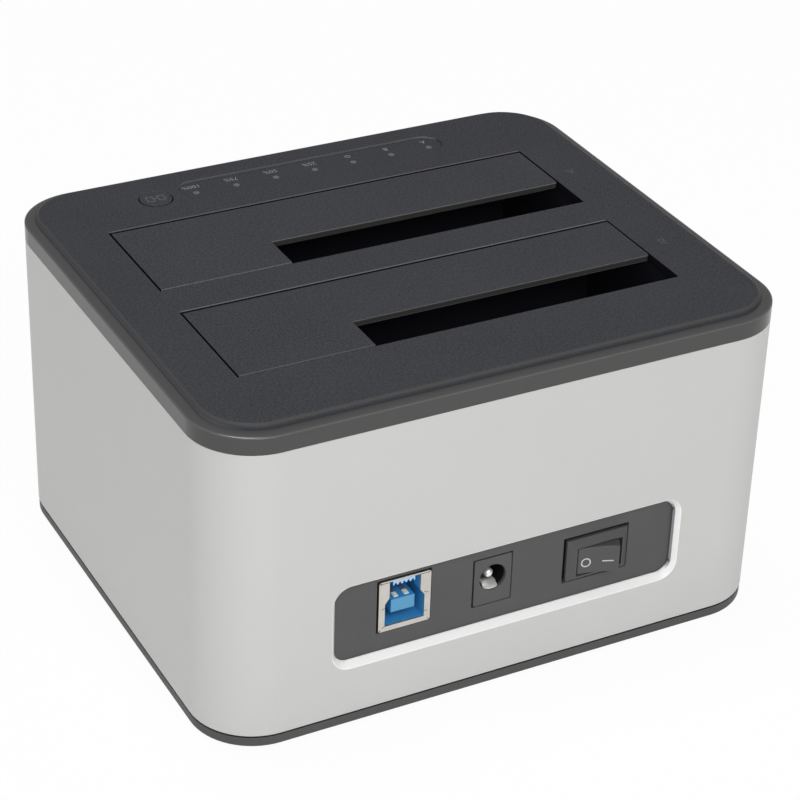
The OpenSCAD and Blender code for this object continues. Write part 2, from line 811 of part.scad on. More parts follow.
module sata_socket(y) {
    mid = y + sata_back;
    color(black) difference() {
        union() {
            span([sata_x - socket_l / 2, mid - socket_w / 2, z_board],
                [sata_x + socket_l / 2, mid + socket_w / 2, z_socket]);
            for (s = [-1, 1])
                translate([sata_x + s * (socket_l / 2 - horn_l / 2), mid, z_socket]) rotate([90, 0, 0])
                    linear_extrude(socket_w, center = true) polygon([
                        [-horn_l / 2, -sink], [horn_l / 2, -sink], [horn_l / 2, horn_h / 2],
                        [horn_l / 4, horn_h], [-horn_l / 4, horn_h], [-horn_l / 2, horn_h / 2]]);
        }
        for (part = [[signal_x, signal_count], [power_x, power_count]]) {
            x0 = sata_x + part[0] - blade_margin;
            span([x0, mid - blade_slot_w / 2, z_socket - blade_slot_d],
                [x0 + blade_slot_l(part[1]), mid + blade_slot_w / 2, z_socket + over]);
            span([x0, mid - key_w, z_socket - blade_slot_d], [x0 + key_l, mid, z_socket + over]);
        }
    }
}

module sata_contacts(y) {
    contact_w = 0.7;
    contact_t = 0.35;
    mid = y + sata_back;
    color(gold) for (part = [[signal_x, signal_count], [power_x, power_count]], i = [0 : part[1] - 1])
        translate([sata_x + part[0] + i * sata_pitch, mid + blade_slot_w / 2, z_socket])
            span([-contact_w / 2, -contact_t, -blade_slot_d], [contact_w / 2, 0, -contact_recess]);
}

module front_sata_socket() { sata_socket(front_y); }
module rear_sata_socket() { sata_socket(rear_y); }
module front_sata_contacts() { sata_contacts(front_y); }
module rear_sata_contacts() { sata_contacts(rear_y); }

module controller_chips() {
    color(black) for (y = [front_y, rear_y])
        span([slot_x - chip / 2, y + bay_w / 2 - chip / 2, z_board],
            [slot_x + chip / 2, y + bay_w / 2 + chip / 2, z_board + chip_h]);
}

module filter_capacitors() {
    away = can_gap + can_r;
    color(steel) for (x = [usb_x + usb_w / 2 + away, switch_x - bezel_w / 2 - away])
        post(x, strip_mid_y, z_board, z_board + can_h, can_r);
}

module power_inductors() {
    usb_side = (usb_x - usb_w / 2 + jack_x + jack_w / 2) / 2;
    switch_side = (switch_x + bezel_w / 2 + jack_x - jack_w / 2) / 2;
    color("dimgray") for (x = [usb_side, switch_side])
        translate([x, strip_mid_y, z_board]) linear_extrude(coil_h) round_rect(coil, coil, coil_corner);
}

// Ports

// Mouth of the data port: a wide part with cut corners and a narrower neck above it
module usb_mouth(h) {
    z0 = usb_mouth_z;
    polygon([
        [-usb_mouth_w / 2, z0], [usb_mouth_w / 2, z0],
        [usb_mouth_w / 2, z0 + usb_neck_z - usb_chamfer_h], [usb_neck_w / 2, z0 + usb_neck_z],
        [usb_neck_w / 2, z0 + h], [-usb_neck_w / 2, z0 + h],
        [-usb_neck_w / 2, z0 + usb_neck_z], [-usb_mouth_w / 2, z0 + usb_neck_z - usb_chamfer_h]]);
}

module usb_shell() {
    bend = 0.6;
    color(steel) difference() {
        from_rear(usb_x, usb_z, usb_front, usb_d) round_rect(usb_w, usb_h, bend);
        from_rear(usb_x, usb_z, usb_front - usb_sheet, usb_d)
            square([usb_w - 2 * usb_sheet, usb_h - 2 * usb_sheet], center = true);
        from_rear(usb_x, usb_z, usb_front + over, usb_d) usb_mouth(usb_mouth_h);
    }
}

module usb_insert() {
    front = usb_front - usb_sheet - snug;
    back = usb_front - usb_cavity;
    tongue_front = usb_front - tongue_recess;
    super_front = usb_front - super_recess;
    slit = 0.5;
    color("#2a6fb5") {
        difference() {
            from_rear(usb_x, usb_z, front, usb_d - usb_sheet - snug)
                square([usb_w - 2 * usb_sheet - 2 * snug, usb_h - 2 * usb_sheet - 2 * snug], center = true);
            from_rear(usb_x, usb_z, usb_front, usb_cavity) usb_mouth(usb_mouth_h - usb_ceiling);
        }
        from_rear(usb_x, usb_z, tongue_front, tongue_front - back + sink)
            translate([-tongue_w / 2, tongue_z]) square([tongue_w, tongue_h]);
        difference() {
            from_rear(usb_x, usb_z, super_front, super_front - back + sink)
                translate([-super_w / 2, super_z]) square([super_w, super_h + usb_ceiling / 2]);
            for (i = [-2 : 2])
                from_rear(usb_x + i * super_pitch, usb_z, usb_front, super_recess + slit)
                    translate([-slit / 2, super_z - over]) square([slit, slit + over]);
        }
    }
}

module usb_contacts() {
    strip_w0 = 1;
    strip_t = 0.25;
    strip_in = 0.7;
    strip_x = 1.25;
    fine_w = 0.5;
    length = usb_cavity - tongue_recess - strip_in;
    color(gold) {
        for (s = [-1, 1], z = [tongue_z - strip_t, tongue_z + tongue_h])
            from_rear(usb_x + s * strip_x, usb_z, usb_front - tongue_recess - strip_in, length)
                translate([-strip_w0 / 2, z]) square([strip_w0, strip_t]);
        for (i = [-2 : 2])
            from_rear(usb_x + i * super_pitch, usb_z, usb_front - tongue_recess - strip_in, length)
                translate([-fine_w / 2, super_z - strip_t])
                    square([fine_w, strip_t]);
    }
}

module dc_jack_body() {
    corner = 0.5;
    color(black) difference() {
        from_rear(jack_x, z_board + jack_h / 2, jack_front, jack_d) round_rect(jack_w, jack_h, corner);
        from_rear(jack_x, jack_z, jack_front + over, jack_bore_d + over) circle(jack_bore_r);
        from_rear(jack_x, jack_z, jack_front - sink, jack_bore_d - sink)
            translate([-leaf_w / 2 - fit, -jack_bore_r - leaf_slot_d])
                square([leaf_w + 2 * fit, jack_bore_r]);
        from_rear(jack_x, jack_z, jack_front, jack_d + over) circle(jack_pin_r + snug);
    }
}

module dc_jack_pin() {
    tip = jack_front - pin_recess - jack_pin_r;
    color(steel) {
        translate([jack_x, tip, jack_z]) sphere(jack_pin_r);
        from_rear(jack_x, jack_z, tip, jack_d - pin_recess - jack_pin_r) circle(jack_pin_r);
    }
}

// Leaf that presses on a plug's barrel: it lies in its groove and humps up near the mouth
module dc_jack_spring() {
    low = jack_z - jack_bore_r - leaf_slot_d + snug;
    front = jack_front - leaf_recess;
    back = jack_front - jack_bore_d + touch;
    hump = leaf_slot_d + hump_rise;
    color(steel) across(jack_x, leaf_w) polygon([
        [back, low], [back, low + leaf_t], [front - hump_foot, low + leaf_t],
        [front - hump_far, low + hump], [front - hump_near, low + hump],
        [front, low + leaf_slot_d], [front, low + leaf_slot_d - leaf_t],
        [front - hump_near, low + hump - leaf_t], [front - hump_far, low + hump - leaf_t],
        [front - hump_foot, low]]);
}

module power_switch_body() {
    color(dark) difference() {
        union() {
            translate([switch_x, panel_y, switch_z])
                raised_frame(bezel_w, bezel_h, rocker_hole_w + 2 * bezel_rim, rocker_hole_h + 2 * bezel_rim,
                    bezel_proud);
            from_rear(switch_x, switch_z, panel_y, bezel_back) square([bezel_w, bezel_h], center = true);
            from_rear(switch_x, switch_z, panel_y - bezel_back + sink, switch_d)
                square([rocker_hole_w + 2 * switch_wall, rocker_hole_h + 2 * switch_wall], center = true);
        }
        from_rear(switch_x, switch_z, rim_y + over, bezel_proud + over + pocket_d)
            square([rocker_hole_w, rocker_hole_h], center = true);
        translate([switch_x, rocker_y, switch_z])
            cylinder(h = rocker_h + 2 * (trunnion_l + fit), r = trunnion_r + snug, center = true);
    }
}

// Rocker seen from above: a hollowed face, leaning ends and a keel that narrows inwards
module rocker_outline() {
    hollow_r = (pow(rocker_half, 2) + pow(rocker_sag, 2)) / (2 * rocker_sag);
    difference() {
        polygon([[-rocker_half, rocker_rise], [-rocker_foot, 0], [-keel, -keel],
            [keel, -keel], [rocker_foot, 0], [rocker_half, rocker_rise]]);
        translate([0, rocker_rise - rocker_sag + hollow_r]) circle(hollow_r);
    }
}

module power_rocker() {
    color(dark) translate([switch_x, rocker_y, switch_z]) {
        rotate([0, 0, -rocker_tilt]) linear_extrude(rocker_h, center = true) rocker_outline();
        cylinder(h = rocker_h + 2 * trunnion_l, r = trunnion_r, center = true);
    }
}

// Blades that come out of the back of the switch and turn down to the board
module switch_terminals() {
    blade_w = 2;
    blade_t = 0.8;
    run = 3;
    back = panel_y - bezel_back + sink - switch_d;
    color(steel) for (s = [-1, 1])
        across(switch_x + s * rocker_hole_w / 3, blade_w) polygon([
            [back, switch_z - blade_t], [back, switch_z], [back - run, switch_z], [back - run, z_board],
            [back - run + blade_t, z_board], [back - run + blade_t, switch_z - blade_t]]);
}

// Button and indicators

module clone_button() {
    z_cap = z_under + button_travel + button_step;
    z_low = z_under - touch - button_flange;
    z_stem = z_tact + plunger_h;
    stem_r = 1.6;
    color(dark) {
        post(button_x, row_y, z_cap, z_top + button_proud, button_r);
        intersection() {
            union() {
                post(button_x, row_y, z_low, z_cap + sink, button_r);
                post(button_x, row_y, z_low, z_under - touch, flange_r);
            }
            span([button_x - flange_r - over, row_y - flange_r - over, z_low - over],
                [button_x + flange_r + over, lamp_board_y1, z_cap + over]);
        }
        post(button_x, row_y, z_stem, z_low + sink, stem_r);
    }
}

module tact_switch_body() {
    well = 1.3;
    color(black) difference() {
        span([button_x - tact_w / 2, row_y - tact_w / 2, z_lamp_board],
            [button_x + tact_w / 2, row_y + tact_w / 2, z_tact]);
        post(button_x, row_y, z_tact - well, z_tact + over, plunger_r + touch / 2);
    }
}

module tact_switch_plunger() {
    inside = 0.7;
    color(steel) post(button_x, row_y, z_tact - inside, z_tact + plunger_h, plunger_r);
}

module light_guide() {
    bar_w = 2.4;
    color("#e4e6e2") {
        for (i = [0 : led_count - 1])
            post(led_x0 - i * led_pitch, row_y, z_lamp_board + led_h + touch, z_top - strip_depth, led_r);
        span([led_x0 - led_pitch * (led_count - 1) - bar_w / 2, row_y - bar_w / 2, z_under - guide_bar_t],
            [led_x0 + bar_w / 2, row_y + bar_w / 2, z_under]);
    }
}

module indicator_leds() {
    led_l = 1.6;
    led_w = 0.8;
    color("#f2efdf") for (i = [0 : led_count - 1])
        span([led_x0 - i * led_pitch - led_l / 2, row_y - led_w / 2, z_lamp_board],
            [led_x0 - i * led_pitch + led_l / 2, row_y + led_w / 2, z_lamp_board + led_h]);
}

module indicator_board() {
    color(green) difference() {
        span([lamp_board_x0, lamp_board_y1 - lamp_board_d, z_lamp_board - board_t],
            [lamp_board_x1, lamp_board_y1, z_lamp_board]);
        for (x = lamp_boss_x)
            post(x, lamp_board_mid, z_lamp_board - board_t - over, z_lamp_board + over,
                lamp_screw[0] + fit);
    }
}

// Flat cable between the boards, ending inside a connector on each
module indicator_ribbon() {
    low = z_board + connector_h - ribbon_grip;
    high = z_lamp_board - board_t - connector_h + ribbon_grip;
    color("#d8d8d2")
        span([ribbon_x - ribbon_w / 2, lamp_board_mid - ribbon_t / 2, low],
            [ribbon_x + ribbon_w / 2, lamp_board_mid + ribbon_t / 2, high]);
}

module ribbon_connectors() {
    wall = 1.4;
    color("#e8e3d2") for (z = [z_board, z_lamp_board - board_t - connector_h]) difference() {
        span([ribbon_x - ribbon_w / 2 - wall, lamp_board_mid - wall, z],
            [ribbon_x + ribbon_w / 2 + wall, lamp_board_mid + wall, z + connector_h]);
        span([ribbon_x - ribbon_w / 2 - snug, lamp_board_mid - ribbon_t / 2 - snug,
                z == z_board ? z + connector_h - ribbon_grip : z - over],
            [ribbon_x + ribbon_w / 2 + snug, lamp_board_mid + ribbon_t / 2 + snug,
                z == z_board ? z + connector_h + over : z + ribbon_grip]);
    }
}

// Screws

module case_screws() {
    color(steel) for (sx = [-1, 1], sy = [-1, 1])
        screw_up(sx * post_x, sy * post_y, case_head_z, case_screw);
}

module well_screws() {
    color(steel) for (y = [front_y, rear_y], x = well_ear_x)
        screw_up(x, y + bay_w / 2, z_under - ear_drop - ear_t, well_screw);
}

module board_screws() {
    color(steel) for (sx = [-1, 1], sy = [-1, 1])
        translate([0, 0, 2 * z_board]) mirror([0, 0, 1])
            screw_up(sx * board_post_x, sy * board_post_y, z_board, board_screw);
}

module indicator_screws() {
    color(steel) for (x = lamp_boss_x)
        screw_up(x, lamp_board_mid, z_lamp_board - board_t, lamp_screw);
}

sleeve();
top_cover();
base();
feet();
io_panel();
front_bay_well();
rear_bay_well();
front_flap();
rear_flap();
front_hinge_pin();
rear_hinge_pin();
front_flap_spring();
rear_flap_spring();
main_board();
front_sata_socket();
rear_sata_socket();
front_sata_contacts();
rear_sata_contacts();
controller_chips();
filter_capacitors();
power_inductors();
usb_shell();
usb_insert();
usb_contacts();
dc_jack_body();
dc_jack_pin();
dc_jack_spring();
power_switch_body();
power_rocker();
switch_terminals();
clone_button();
tact_switch_body();
tact_switch_plunger();
light_guide();
indicator_leds();
indicator_board();
indicator_ribbon();
ribbon_connectors();
case_screws();
well_screws();
board_screws();
indicator_screws();
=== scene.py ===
import json
import math

import bmesh
import bpy
from mathutils import Matrix, Vector


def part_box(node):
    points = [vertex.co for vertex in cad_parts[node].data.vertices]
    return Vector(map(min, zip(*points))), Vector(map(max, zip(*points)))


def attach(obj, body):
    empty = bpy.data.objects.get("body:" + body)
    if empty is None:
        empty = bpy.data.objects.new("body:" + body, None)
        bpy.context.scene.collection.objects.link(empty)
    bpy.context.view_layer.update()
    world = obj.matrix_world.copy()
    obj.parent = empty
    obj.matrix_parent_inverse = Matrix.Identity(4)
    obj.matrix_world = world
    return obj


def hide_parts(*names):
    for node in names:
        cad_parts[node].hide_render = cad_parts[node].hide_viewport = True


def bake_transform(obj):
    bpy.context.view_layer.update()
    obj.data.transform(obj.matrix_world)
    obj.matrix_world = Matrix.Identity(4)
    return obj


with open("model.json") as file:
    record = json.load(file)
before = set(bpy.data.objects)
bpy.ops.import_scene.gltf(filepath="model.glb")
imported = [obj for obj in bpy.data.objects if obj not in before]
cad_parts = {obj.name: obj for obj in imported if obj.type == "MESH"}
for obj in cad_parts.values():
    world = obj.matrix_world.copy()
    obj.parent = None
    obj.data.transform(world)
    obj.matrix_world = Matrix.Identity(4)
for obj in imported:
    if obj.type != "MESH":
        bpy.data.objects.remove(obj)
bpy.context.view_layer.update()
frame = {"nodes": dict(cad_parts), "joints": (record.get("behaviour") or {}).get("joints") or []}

NODES = frame["nodes"]
JOINTS = {joint["name"]: joint for joint in frame["joints"]}
MM = 0.001


# Shader nodes

def feed(links, value, socket):
    """Gives a socket another socket's value, a number or a colour."""
    if isinstance(value, bpy.types.NodeSocket):
        links.new(value, socket)
    elif isinstance(value, tuple):
        socket.default_value = (*value, 1)
    else:
        socket.default_value = value


def calc(nodes, links, operation, first, second):
    """One sum on two sockets or numbers."""
    node = nodes.new("ShaderNodeMath")
    node.operation = operation
    feed(links, first, node.inputs[0])
    feed(links, second, node.inputs[1])
    return node.outputs[0]


def parts_of(nodes, links, vector):
    """The X, Y and Z of a vector socket."""
    node = nodes.new("ShaderNodeSeparateXYZ")
    links.new(vector, node.inputs[0])
    return node.outputs


def value_range(nodes, links, source, low, high, from_low=0.3, from_high=0.7):
    """A value moved from one range to another; the first range suits noise unless it is given."""
    node = nodes.new("ShaderNodeMapRange")
    node.inputs["From Min"].default_value = from_low
    node.inputs["From Max"].default_value = from_high
    node.inputs["To Min"].default_value = low
    node.inputs["To Max"].default_value = high
    links.new(source, node.inputs["Value"])
    return node.outputs["Result"]


def noise(nodes, links, coordinates, size_mm, detail, stretch=(1, 1, 1)):
    """Noise whose grains are about that many millimetres across."""
    scale = nodes.new("ShaderNodeMapping")
    scale.inputs["Scale"].default_value = stretch
    links.new(coordinates, scale.inputs["Vector"])
    node = nodes.new("ShaderNodeTexNoise")
    node.inputs["Scale"].default_value = 1 / (size_mm * MM)
    node.inputs["Detail"].default_value = detail
    links.new(scale.outputs["Vector"], node.inputs["Vector"])
    return node.outputs["Fac"]


# Places of a mix node's two inputs and its result among its sockets, for numbers and for colours
NUMBER_SOCKETS = (2, 3, 0)
COLOR_SOCKETS = (6, 7, 2)


def blended(nodes, links, factor, first, second, kind="FLOAT", sockets=NUMBER_SOCKETS):
    """Number that goes from first to second with a factor; either may be a socket or a number."""
    node = nodes.new("ShaderNodeMix")
    node.data_type = kind
    links.new(factor, node.inputs["Factor"])
    feed(links, first, node.inputs[sockets[0]])
    feed(links, second, node.inputs[sockets[1]])
    return node.outputs[sockets[2]]


def mixed(nodes, links, factor, first, second):
    """Colour that goes from first to second with a factor; either may be a socket or a colour."""
    return blended(nodes, links, factor, first, second, "RGBA", COLOR_SOCKETS)


def mix_shaders(nodes, links, factor, first, second, output):
    """Sends two shaders to an output, the second of them where the factor is 1."""
    mix = nodes.new("ShaderNodeMixShader")
    for source, socket in zip((factor, first.outputs[0], second.outputs[0]), mix.inputs):
        links.new(source, socket)
    links.new(mix.outputs[0], output.inputs["Surface"])


# Camera, floor and light

# The camera's place and the point it looks at, in millimetres, found by fitting the case's edges
CAMERA_AT = Vector((232.65, 437.32, 334.0)) * MM
CAMERA_TO = Vector((-169.03, -306.86, -168.87)) * MM
# Its roll in radians, its focal length and picture width in pixels, and its sensor's width in millimetres
CAMERA_ROLL = 0.033
FOCAL_PX = 2538.3
IMAGE_PX = 800
SENSOR_MM = 36.0


def make_camera():
    """The camera as it stood for the photograph."""
    data = bpy.data.cameras.new("camera")
    data.sensor_width = SENSOR_MM
    data.lens = SENSOR_MM * FOCAL_PX / IMAGE_PX
    data.clip_start = 0.05
    data.clip_end = 20
    camera = bpy.data.objects.new("camera", data)
    bpy.context.scene.collection.objects.link(camera)
    forward = (CAMERA_TO - CAMERA_AT).normalized()
    right = forward.cross(Vector((0, 0, 1))).normalized()
    up = right.cross(forward)
    turn, lean = math.cos(CAMERA_ROLL), math.sin(CAMERA_ROLL)
    right, up = right * turn + up * lean, up * turn - right * lean
    turned = Matrix((right, up, -forward)).transposed().to_4x4()
    camera.matrix_world = Matrix.Translation(CAMERA_AT) @ turned
    bpy.context.scene.camera = camera


def seen_directly(nodes, links, others=("Is Transmission Ray",)):
    """1 for rays that show the background: from the camera and of some other kinds."""
    path = nodes.new("ShaderNodeLightPath")
    total = path.outputs["Is Camera Ray"]
    for kind in others:
        total = calc(nodes, links, "MAXIMUM", total, path.outputs[kind])
    return total


def make_floor():
    """A floor that shows as white, and takes shadows and gives back light like white paint."""
    half_side = 6.0
    white_share = 0.95
    paint_white = 0.9
    mesh = bpy.data.meshes.new("floor")
    corners = [(x * half_side, y * half_side, 0) for x, y in ((-1, -1), (1, -1), (1, 1), (-1, 1))]
    mesh.from_pydata(corners, [], [(0, 1, 2, 3)])
    floor = bpy.data.objects.new("floor", mesh)
    bpy.context.scene.collection.objects.link(floor)
    mat = bpy.data.materials.new("floor_white")
    mat.use_nodes = True
    nodes, links = mat.node_tree.nodes, mat.node_tree.links
    nodes.clear()
    paint = nodes.new("ShaderNodeBsdfDiffuse")
    paint.inputs["Color"].default_value = (paint_white, paint_white, paint_white, 1)
    glow = nodes.new("ShaderNodeEmission")
    glow.inputs["Color"].default_value = (1, 1, 1, 1)
    shown = seen_directly(nodes, links, ("Is Glossy Ray", "Is Transmission Ray"))
    share = calc(nodes, links, "MULTIPLY", shown, white_share)
    mix_shaders(nodes, links, share, paint, glow, nodes.new("ShaderNodeOutputMaterial"))
    mesh.materials.append(mat)


def make_world():
    """Even room light, with a white background where it is seen directly."""
    room_light = 0.3
    shown_white = 1.0
    world = bpy.data.worlds.new("studio")
    bpy.context.scene.world = world
    world.use_nodes = True
    nodes, links = world.node_tree.nodes, world.node_tree.links
    nodes.clear()
    lights = []
    for strength in (room_light, shown_white):
        light = nodes.new("ShaderNodeBackground")
        light.inputs["Color"].default_value = (1, 1, 1, 1)
        light.inputs["Strength"].default_value = strength
        lights.append(light)
    mix_shaders(nodes, links, seen_directly(nodes, links), *lights, nodes.new("ShaderNodeOutputWorld"))


def make_lamp(name, place, aim, size, watts):
    """A rectangular area lamp that shines from a place to a point, in metres."""
    data = bpy.data.lights.new(name, "AREA")
    data.shape = "RECTANGLE"
    data.size, data.size_y = size
    data.energy = watts
    lamp = bpy.data.objects.new(name, data)
    bpy.context.scene.collection.objects.link(lamp)
    lamp.location = place
    lamp.rotation_euler = (Vector(aim) - Vector(place)).to_track_quat("-Z", "Y").to_euler()


def make_lights():
    """A broad lamp on the side of the ports, a near one at the corner and one overhead."""
    middle = (0, 0, 0.04)
    make_lamp("key", (0.05, 1.15, 1.2), middle, (0.8, 0.8), 9.0)
    make_lamp("near", (0.3, 0.52, 0.35), middle, (0.35, 0.35), 1.15)
    make_lamp("top", (0.1, -0.25, 1.5), middle, (0.5, 0.5), 7.3)


# Materials

def shade(color, factor):
    """A colour made darker or paler by a factor."""
    return tuple(min(1.0, channel * factor) for channel in color)


def finish_material(name, color, roughness, metallic=0.0, grain_mm=0.35, bump_mm=0.01, speckle=0.06,
                    patch_mm=14.0, patch=0.05, stretch=(1, 1, 1), specular=0.5):
    """Surface with a fine moulded or rolled grain, patchy colour and uneven gloss."""
    rough_spread = 0.06
    grain_detail, patch_detail = 3.0, 4.0
    mat = bpy.data.materials.new(name)
    mat.use_nodes = True
    nodes, links = mat.node_tree.nodes, mat.node_tree.links
    bsdf = nodes["Principled BSDF"]
    place = nodes.new("ShaderNodeTexCoord").outputs["Object"]
    grain = noise(nodes, links, place, grain_mm, grain_detail, stretch)
    patches = noise(nodes, links, place, patch_mm, patch_detail)
    spots = value_range(nodes, links, grain, 0, 1)
    broad = value_range(nodes, links, patches, 0, 1)
    tone = mixed(nodes, links, broad, shade(color, 1 - patch), shade(color, 1 + patch))
    light_spot = mixed(nodes, links, broad, shade(color, 1 + speckle), shade(color, 1 + speckle + patch))
    base = mixed(nodes, links, spots, tone, light_spot)
    links.new(base, bsdf.inputs["Base Color"])
    gloss = value_range(nodes, links, grain, roughness - rough_spread, roughness + rough_spread)
    links.new(gloss, bsdf.inputs["Roughness"])
    bump = nodes.new("ShaderNodeBump")
    bump.inputs["Strength"].default_value = 1.0
    bump.inputs["Distance"].default_value = bump_mm * MM
    links.new(grain, bump.inputs["Height"])
    links.new(bump.outputs["Normal"], bsdf.inputs["Normal"])
    bsdf.inputs["Metallic"].default_value = metallic
    bsdf.inputs["Specular IOR Level"].default_value = specular
    return mat


# A mask is a function of a material's nodes, links, object coordinates and normal; it gives a socket

def over_mask(mat, mask, color=None, roughness=None, specular=None, grain=None, metallic=None):
    """Paints a finished material another colour or gloss, or evens its grain, where a mask is 1."""
    nodes, links = mat.node_tree.nodes, mat.node_tree.links
    bsdf = nodes["Principled BSDF"]
    place = nodes.new("ShaderNodeTexCoord")
    where = mask(nodes, links, place.outputs["Object"], place.outputs["Normal"])
    for target, value, mix in ((bsdf.inputs["Base Color"], color, mixed),
                               (bsdf.inputs["Roughness"], roughness, blended),
                               (bsdf.inputs["Specular IOR Level"], specular, blended),
                               (bsdf.inputs["Metallic"], metallic, blended),
                               (nodes["Bump"].inputs["Strength"], grain, blended)):
        if value is not None:
            under = target.links[0].from_socket if target.is_linked else target.default_value
            links.new(mix(nodes, links, where, under, value), target)
    return mat


def facing(axis, low, high):
    """A mask that goes from 0 to 1 as the normal's part along an axis goes from low to high."""
    def mask(nodes, links, place, normal):
        return value_range(nodes, links, parts_of(nodes, links, normal)[axis], 0, 1, low, high)
    return mask


def beyond(axis, limit, above=True):
    """A mask that is 1 on the part of a piece past a limit along an axis, or short of it."""
    test = "GREATER_THAN" if above else "LESS_THAN"

    def mask(nodes, links, place, normal):
        return calc(nodes, links, test, parts_of(nodes, links, place)[axis], limit)
    return mask


def both(*masks):
    """A mask that is 1 where all of these are 1."""
    def mask(nodes, links, place, normal):
        total = masks[0](nodes, links, place, normal)
        for part in masks[1:]:
            total = calc(nodes, links, "MULTIPLY", total, part(nodes, links, place, normal))
        return total
    return mask


def silver_material(name):
    """Fine silver paint; the cut edge of the port opening is paler, partly as a bright cut and partly as
    painted highlight, and its inner side wall has painted shadow.
    """
    low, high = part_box("io_panel")
    panel_foot = 9 * MM
    wall_depth = 0.9 * MM
    flat_turn = 0.97
    mat = finish_material(name, (0.585, 0.583, 0.572), 0.47, metallic=0.2, grain_mm=0.12, bump_mm=0.003,
                          speckle=0.05, patch_mm=25, patch=0.012)

    def slanted(nodes, links, place, normal):
        return calc(nodes, links, "LESS_THAN", parts_of(nodes, links, normal)[1], flat_turn)

    cut_edge = both(beyond(0, low.x), beyond(0, high.x, above=False), beyond(2, low.z + panel_foot),
                    beyond(2, high.z, above=False), beyond(1, 0), slanted)
    # The cut edge: pale, partly a bright cut and partly painted highlight.
    over_mask(mat, cut_edge, (0.97, 0.97, 0.965), 0.3, metallic=0.0)
    # Painted shadow on the inner side wall of the opening, beside the panel.
    inner_wall_shadow = both(cut_edge, facing(0, 0.55, 0.95), beyond(1, high.y + wall_depth, above=False))
    return over_mask(mat, inner_wall_shadow, (0.05, 0.05, 0.06), 0.5)


def textured_material(name, color):
    """Dark plastic with the fine spark texture of the cover's top."""
    return finish_material(name, color, 0.6, grain_mm=0.45, bump_mm=0.03, speckle=0.9, patch_mm=18,
                           patch=0.07, specular=0.06)


# From a flap's hinge to the edge of the mouth beside it, and the gap from there to the flap
HINGE_TO_MOUTH = 4.45 * MM
FLAP_GAP = 0.4 * MM


def mouth_edge(side):
    """Where the mouth of a bay begins, beside the flap's hinge."""
    return JOINTS[f"{side}_flap_hinge"]["pos_m"][1] + HINGE_TO_MOUTH


def flap_material(name, color, node):
    """The textured plastic; the faces towards the slot and the free edge are paler as painted highlight, and
    the ends and the hinge side are painted black as shade.
    """
    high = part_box(node)[1]
    plate_t = 1.4 * MM
    rim_h = 0.22 * MM
    foot_h = 0.25 * MM
    tip_w = 0.6 * MM
    back_w = 0.4 * MM
    black = (0.005, 0.005, 0.006)
    underside = high.z - plate_t
    back_edge = mouth_edge(node.split("_")[0]) + FLAP_GAP
    to_rear = facing(1, 0.3, 0.5)
    rim = both(to_rear, beyond(2, high.z - rim_h))
    foot = both(to_rear, beyond(2, underside + foot_h, above=False))
    tip = both(to_rear, beyond(1, high.y - tip_w))
    hinge_gap_shadow = both(beyond(1, back_edge + back_w, above=False), beyond(2, underside))
    mat = textured_material(name, color)
    # Faces towards the rear: smoother, and paler as painted light.
    over_mask(mat, to_rear, (0.04, 0.04, 0.039), 0.35, 0.3, 0.1)
    # Painted highlight line along the top of those faces.
    over_mask(mat, rim, (0.11, 0.11, 0.105))
    # Painted highlight line along their foot.
    over_mask(mat, foot, (0.075, 0.075, 0.072))
    # Painted highlight on the free edge.
    over_mask(mat, tip, (0.115, 0.115, 0.112), 0.35)
    # Painted shadow of the gap along the hinge side.
    over_mask(mat, hinge_gap_shadow, black, 0.7, 0.05)
    # Painted shadow in the gaps at the ends.
    return over_mask(mat, facing(0, 0.4, 0.6), black, 0.7, 0.05)


def below(limit, fade):
    """A mask that is 1 under a height and fades out over a distance above it."""
    def mask(nodes, links, place, normal):
        return value_range(nodes, links, parts_of(nodes, links, place)[2], 1, 0, limit, limit + fade)
    return mask


